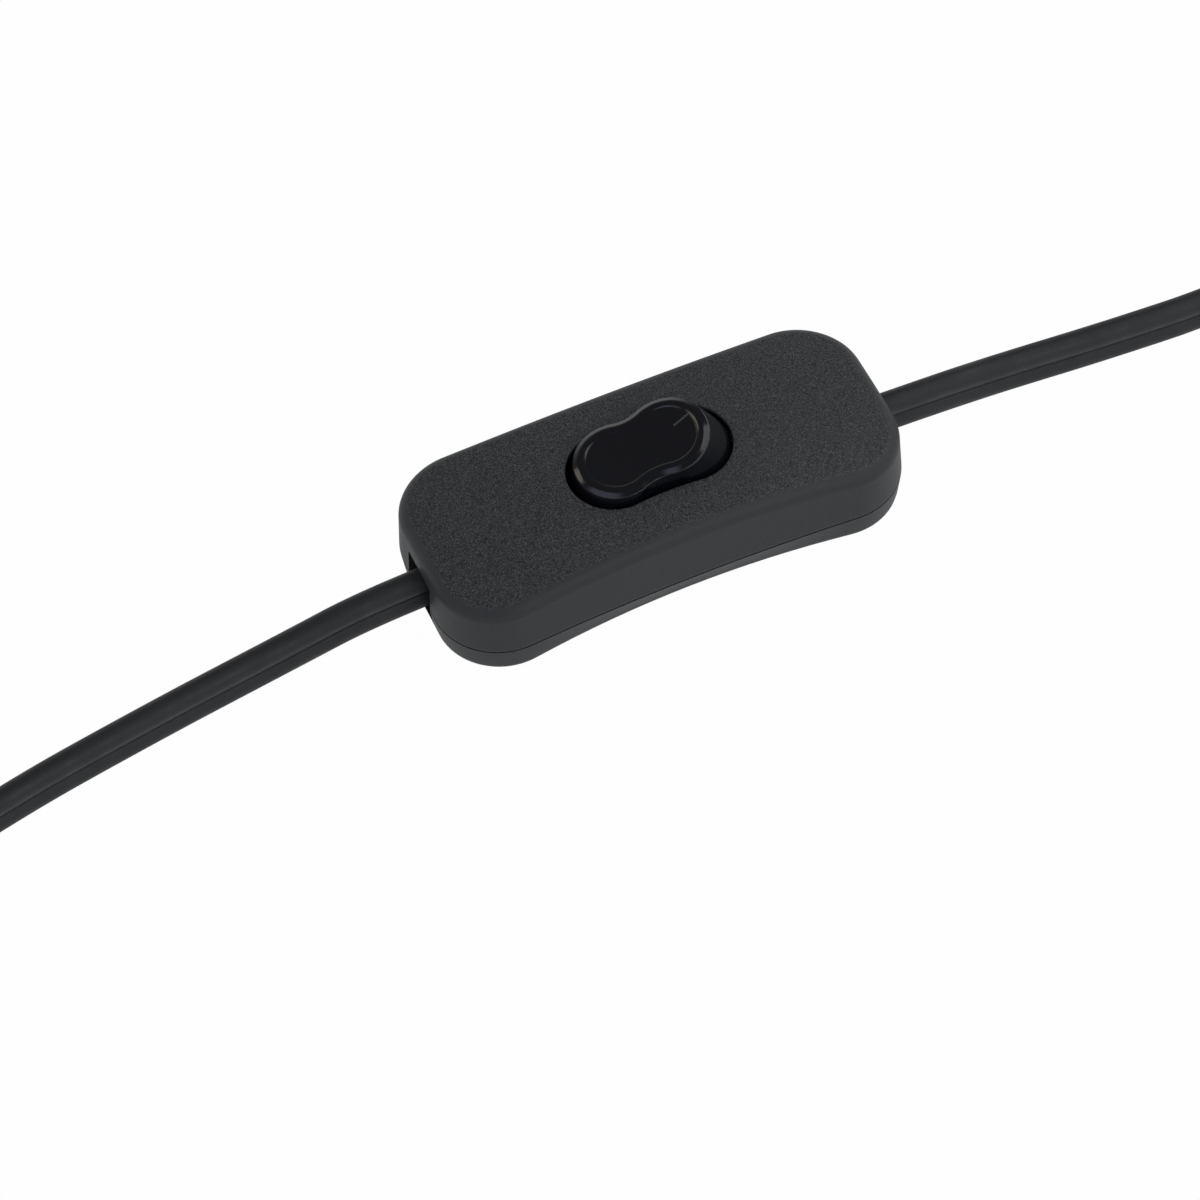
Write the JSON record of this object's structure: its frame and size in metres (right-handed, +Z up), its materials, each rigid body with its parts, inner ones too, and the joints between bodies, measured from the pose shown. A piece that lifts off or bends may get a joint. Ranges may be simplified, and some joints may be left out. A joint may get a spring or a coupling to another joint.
{
  "type": "inline cord switch",
  "caption": "Inline rocker switch on a flat twin cord: waisted black housing, glossy dished rocker, see-saw contact, screw terminals and cord clamps.",
  "frame": {"origin": "middle of the housing's underside", "axes": "+X along the cord towards the end where the rocker stands up at rest, +Z up out of the rocker"},
  "size_m": [0.2964, 0.0463, 0.0182],
  "materials": {
    "housing_plastic": "fine-grained black thermoplastic",
    "rocker_plastic": "polished black thermoplastic",
    "cord_skin": "satin black flexible PVC",
    "clamp_plastic": "black glass-filled nylon",
    "plunger_plastic": "natural acetal",
    "brass": "stamped brass",
    "contact_metal": "silver alloy",
    "steel": "zinc-plated steel",
    "tinned_copper": "tinned stranded copper"
  },
  "bodies": {
    "housing": {"top_cover": "housing_plastic", "base_cover": "housing_plastic", "fixed_contact": "contact_metal", "common_terminal": "brass", "fixed_terminal": "brass", "neutral_link": "brass", "live_screw_left": "steel", "live_core_left": "cord_skin", "live_strands_left": "tinned_copper", "neutral_screw_left": "steel", "neutral_core_left": "cord_skin", "neutral_strands_left": "tinned_copper", "clamp_bar_left": "clamp_plastic", "clamp_screw_left_front": "steel", "clamp_screw_left_rear": "steel", "case_screw_left": "steel", "live_screw_right": "steel", "live_core_right": "cord_skin", "live_strands_right": "tinned_copper", "neutral_screw_right": "steel", "neutral_core_right": "cord_skin", "neutral_strands_right": "tinned_copper", "clamp_bar_right": "clamp_plastic", "clamp_screw_right_front": "steel", "clamp_screw_right_rear": "steel", "case_screw_right": "steel", "cord_left": "cord_skin", "tinned_ends_left": "tinned_copper", "cord_right": "cord_skin", "tinned_ends_right": "tinned_copper"},
    "rocker": {"rocker": "rocker_plastic", "plunger_spring": "steel"},
    "plunger": {"plunger": "plunger_plastic"},
    "see_saw": {"contact_blade": "brass", "moving_contact": "contact_metal"}
  },
  "joints": [
    {"name": "rocker_tilt", "type": "hinge", "parent": "housing", "child": "rocker", "pos_m": [0, 0, 0.0103], "axis": [0, 1, 0], "range_deg": [0, 20]},
    {"name": "plunger_slide", "type": "slide", "parent": "rocker", "child": "plunger", "axis": [-0.1736, 0, 0.9848], "range_m": [0, 0.0008], "stiffness_N_per_m": 100, "springref_m": -0.003, "deforming": ["plunger_spring"]},
    {"name": "see_saw_tilt", "type": "hinge", "parent": "housing", "child": "see_saw", "pos_m": [0, 0, 0.005], "axis": [0, 1, 0], "range_deg": [-16, 0]}
  ],
  "couplings": [
    {"joint": "see_saw_tilt", "follows": "rocker_tilt", "ratio": -0.8}
  ]
}
